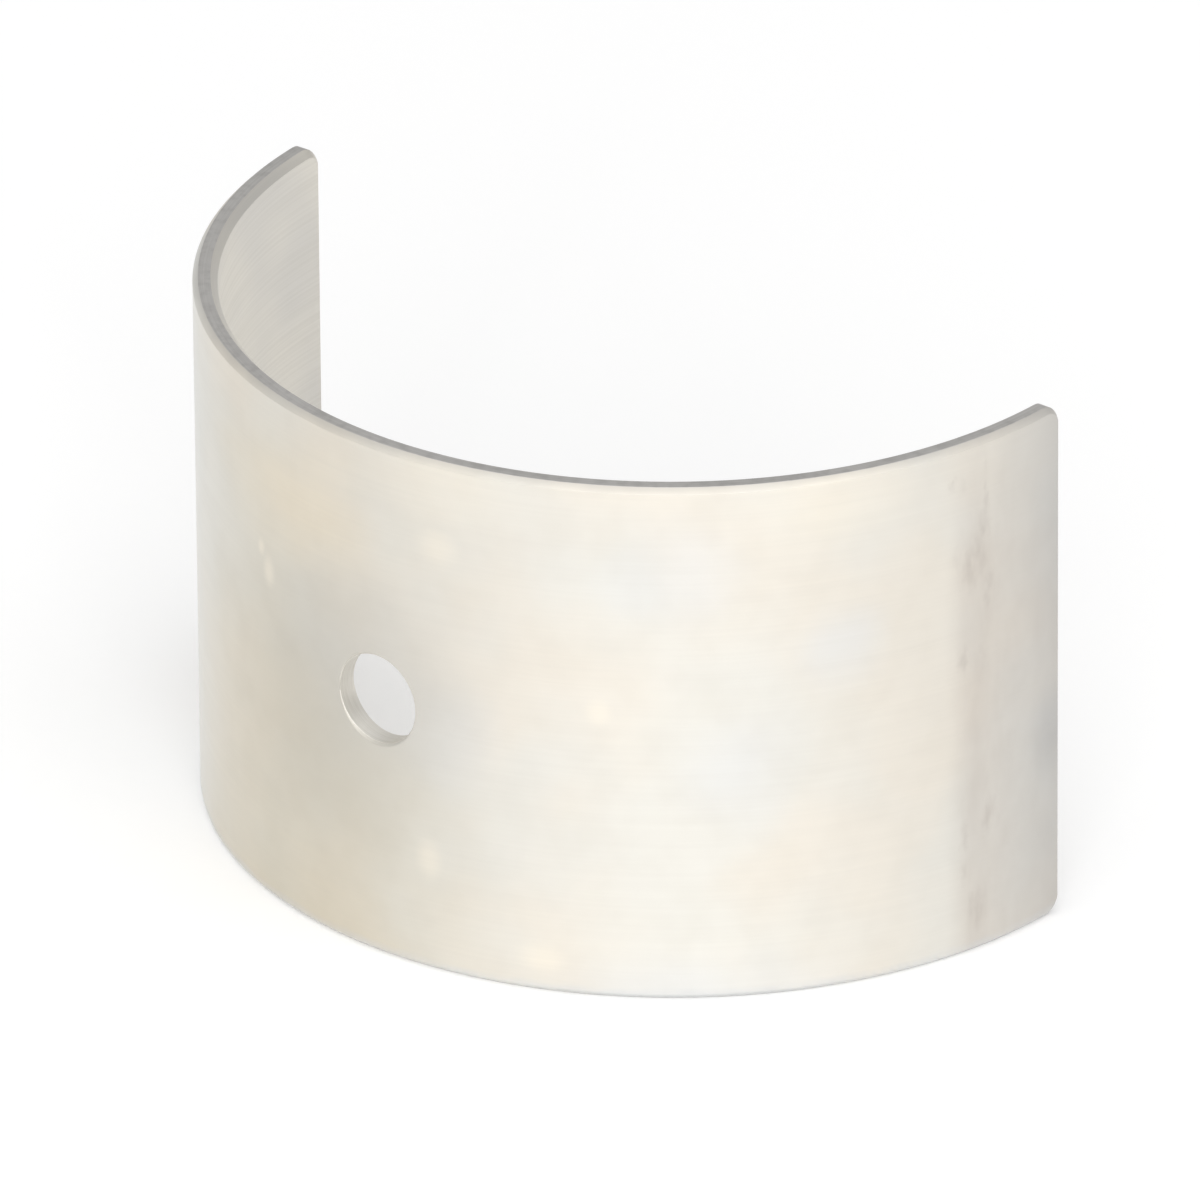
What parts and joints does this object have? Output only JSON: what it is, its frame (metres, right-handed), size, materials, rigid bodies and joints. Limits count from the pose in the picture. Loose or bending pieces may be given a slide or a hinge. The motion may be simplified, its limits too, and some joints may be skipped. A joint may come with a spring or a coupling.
{
  "type": "engine bearing shell",
  "caption": "Thin-walled half-round steel bearing shell with chamfered side rims, rounded joint corners and an oil hole at mid-arc, to carry a crankshaft journal in a split housing.",
  "frame": {"origin": "on the journal axis, at the middle of the width", "axes": "+Z along the journal axis, -Y towards the middle of the arc, joint faces on the plane y = 0 and facing +Y"},
  "size_m": [0.076, 0.038, 0.0448],
  "materials": {
    "tinned_steel": "satin tin flash over steel"
  },
  "bodies": {
    "root": {"bearing_shell": "tinned_steel"}
  },
  "joints": []
}
